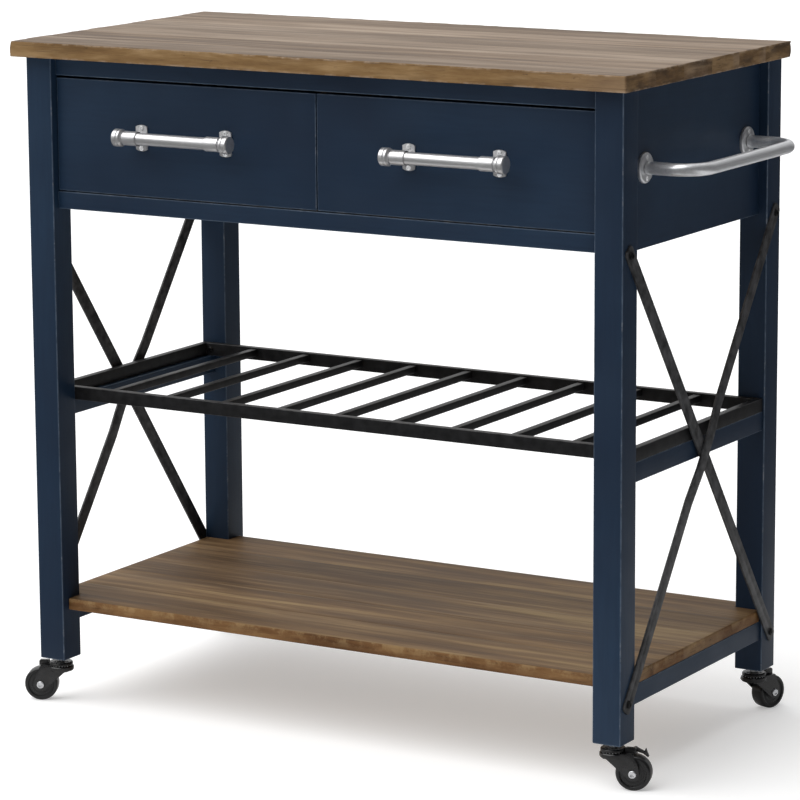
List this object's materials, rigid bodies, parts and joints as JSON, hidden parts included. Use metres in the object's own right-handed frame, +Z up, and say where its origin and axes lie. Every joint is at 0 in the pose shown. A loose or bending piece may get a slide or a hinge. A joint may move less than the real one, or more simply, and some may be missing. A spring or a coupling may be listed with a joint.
{
  "type": "kitchen island cart",
  "caption": "Kitchen island cart: plank worktop over paired drawers, slatted steel rack, plank bottom shelf, crossed end braces, towel bar and swivel casters.",
  "frame": {"origin": "on the floor, under the middle of the whole outline (towel bar and casters included)", "axes": "+X along the front towards the towel bar, +Y from the drawers to the back, +Z up"},
  "size_m": [0.9976, 0.515, 0.9144],
  "materials": {
    "plank_top": "matt, distressed grey-brown planks",
    "plank_shelf": "matt, dark brown planks",
    "navy_paint": "satin navy paint over timber",
    "raw_timber": "unpainted, lightly sealed",
    "black_steel": "matt black powder coat",
    "satin_steel": "satin",
    "zinc_steel": "bright zinc plate",
    "caster_metal": "satin black",
    "caster_tread": "satin charcoal"
  },
  "bodies": {
    "frame": {"worktop": "plank_top", "leg_front_left": "navy_paint", "leg_front_right": "navy_paint", "leg_back_left": "navy_paint", "leg_back_right": "navy_paint", "side_panel_left": "navy_paint", "side_panel_right": "navy_paint", "back_panel": "navy_paint", "front_top_rail": "navy_paint", "front_lower_rail": "navy_paint", "centre_partition": "raw_timber", "slide_cleats": "raw_timber", "middle_side_rails": "navy_paint", "lower_side_rails": "navy_paint", "bottom_shelf": "plank_shelf", "frame_dowels": "raw_timber", "top_brackets": "zinc_steel", "bracket_screws": "zinc_steel", "rack_frame": "black_steel", "rack_slats": "black_steel", "left_braces": "black_steel", "right_braces": "black_steel", "brace_and_rack_screws": "black_steel", "towel_bar": "satin_steel", "towel_bar_flanges": "satin_steel", "towel_bar_screws": "zinc_steel", "cabinet_slide_members": "zinc_steel", "caster_sockets": "zinc_steel", "caster_stems": "zinc_steel", "caster_bearing_caps": "caster_metal"},
    "left_drawer": {"left_drawer_front": "navy_paint", "left_drawer_walls": "raw_timber", "left_drawer_bottom": "raw_timber", "left_drawer_slide_members": "zinc_steel", "left_handle_bar": "satin_steel", "left_handle_brackets": "satin_steel", "left_handle_screws": "satin_steel"},
    "left_middle_slides": {"left_middle_slide_members": "zinc_steel"},
    "right_drawer": {"right_drawer_front": "navy_paint", "right_drawer_walls": "raw_timber", "right_drawer_bottom": "raw_timber", "right_drawer_slide_members": "zinc_steel", "right_handle_bar": "satin_steel", "right_handle_brackets": "satin_steel", "right_handle_screws": "satin_steel"},
    "right_middle_slides": {"right_middle_slide_members": "zinc_steel"},
    "caster_swivel_front_left": {"caster_fork_front_left": "caster_metal", "caster_axle_front_left": "zinc_steel"},
    "caster_roller_front_left": {"caster_wheel_front_left": "caster_tread"},
    "caster_swivel_front_right": {"caster_fork_front_right": "caster_metal", "caster_axle_front_right": "zinc_steel"},
    "caster_roller_front_right": {"caster_wheel_front_right": "caster_tread"},
    "brake_front_right": {"brake_lever_front_right": "caster_metal"},
    "caster_swivel_back_left": {"caster_fork_back_left": "caster_metal", "caster_axle_back_left": "zinc_steel"},
    "caster_roller_back_left": {"caster_wheel_back_left": "caster_tread"},
    "brake_back_left": {"brake_lever_back_left": "caster_metal"},
    "caster_swivel_back_right": {"caster_fork_back_right": "caster_metal", "caster_axle_back_right": "zinc_steel"},
    "caster_roller_back_right": {"caster_wheel_back_right": "caster_tread"}
  },
  "joints": [
    {"name": "left_drawer_slide", "type": "slide", "parent": "frame", "child": "left_drawer", "axis": [0, -1, 0], "range_m": [0, 0.33]},
    {"name": "left_middle_slide", "type": "slide", "parent": "frame", "child": "left_middle_slides", "axis": [0, -1, 0], "range_m": [0, 0.165]},
    {"name": "right_drawer_slide", "type": "slide", "parent": "frame", "child": "right_drawer", "axis": [0, -1, 0], "range_m": [0, 0.33]},
    {"name": "right_middle_slide", "type": "slide", "parent": "frame", "child": "right_middle_slides", "axis": [0, -1, 0], "range_m": [0, 0.165]},
    {"name": "caster_swivel_turn_front_left", "type": "hinge", "parent": "frame", "child": "caster_swivel_front_left", "pos_m": [-0.45035, -0.2087, 0.048], "axis": [0, 0, 1], "continuous": true},
    {"name": "caster_wheel_roll_front_left", "type": "hinge", "parent": "caster_swivel_front_left", "child": "caster_roller_front_left", "pos_m": [-0.47482, -0.22011, 0.023], "axis": [0.4226, -0.9063, 0], "continuous": true},
    {"name": "caster_swivel_turn_front_right", "type": "hinge", "parent": "frame", "child": "caster_swivel_front_right", "pos_m": [0.40865, -0.2087, 0.048], "axis": [0, 0, 1], "continuous": true},
    {"name": "caster_wheel_roll_front_right", "type": "hinge", "parent": "caster_swivel_front_right", "child": "caster_roller_front_right", "pos_m": [0.43447, -0.20081, 0.023], "axis": [-0.2924, 0.9563, 0], "continuous": true},
    {"name": "brake_press_front_right", "type": "hinge", "parent": "caster_swivel_front_right", "child": "brake_front_right", "pos_m": [0.43543, -0.20051, 0.0522], "axis": [-0.2924, 0.9563, 0], "range_deg": [0, 8]},
    {"name": "caster_swivel_turn_back_left", "type": "hinge", "parent": "frame", "child": "caster_swivel_back_left", "pos_m": [-0.45035, 0.2081, 0.048], "axis": [0, 0, 1], "continuous": true},
    {"name": "caster_wheel_roll_back_left", "type": "hinge", "parent": "caster_swivel_back_left", "child": "caster_roller_back_left", "pos_m": [-0.46385, 0.23148, 0.023], "axis": [-0.866, -0.5, 0], "continuous": true},
    {"name": "brake_press_back_left", "type": "hinge", "parent": "caster_swivel_back_left", "child": "brake_back_left", "pos_m": [-0.46435, 0.23235, 0.0522], "axis": [-0.866, -0.5, 0], "range_deg": [0, 8]},
    {"name": "caster_swivel_turn_back_right", "type": "hinge", "parent": "frame", "child": "caster_swivel_back_right", "pos_m": [0.40865, 0.2081, 0.048], "axis": [0, 0, 1], "continuous": true},
    {"name": "caster_wheel_roll_back_right", "type": "hinge", "parent": "caster_swivel_back_right", "child": "caster_roller_back_right", "pos_m": [0.41789, 0.23347, 0.023], "axis": [-0.9397, 0.342, 0], "continuous": true}
  ],
  "couplings": [
    {"joint": "left_middle_slide", "follows": "left_drawer_slide", "ratio": 0.5},
    {"joint": "right_middle_slide", "follows": "right_drawer_slide", "ratio": 0.5}
  ]
}
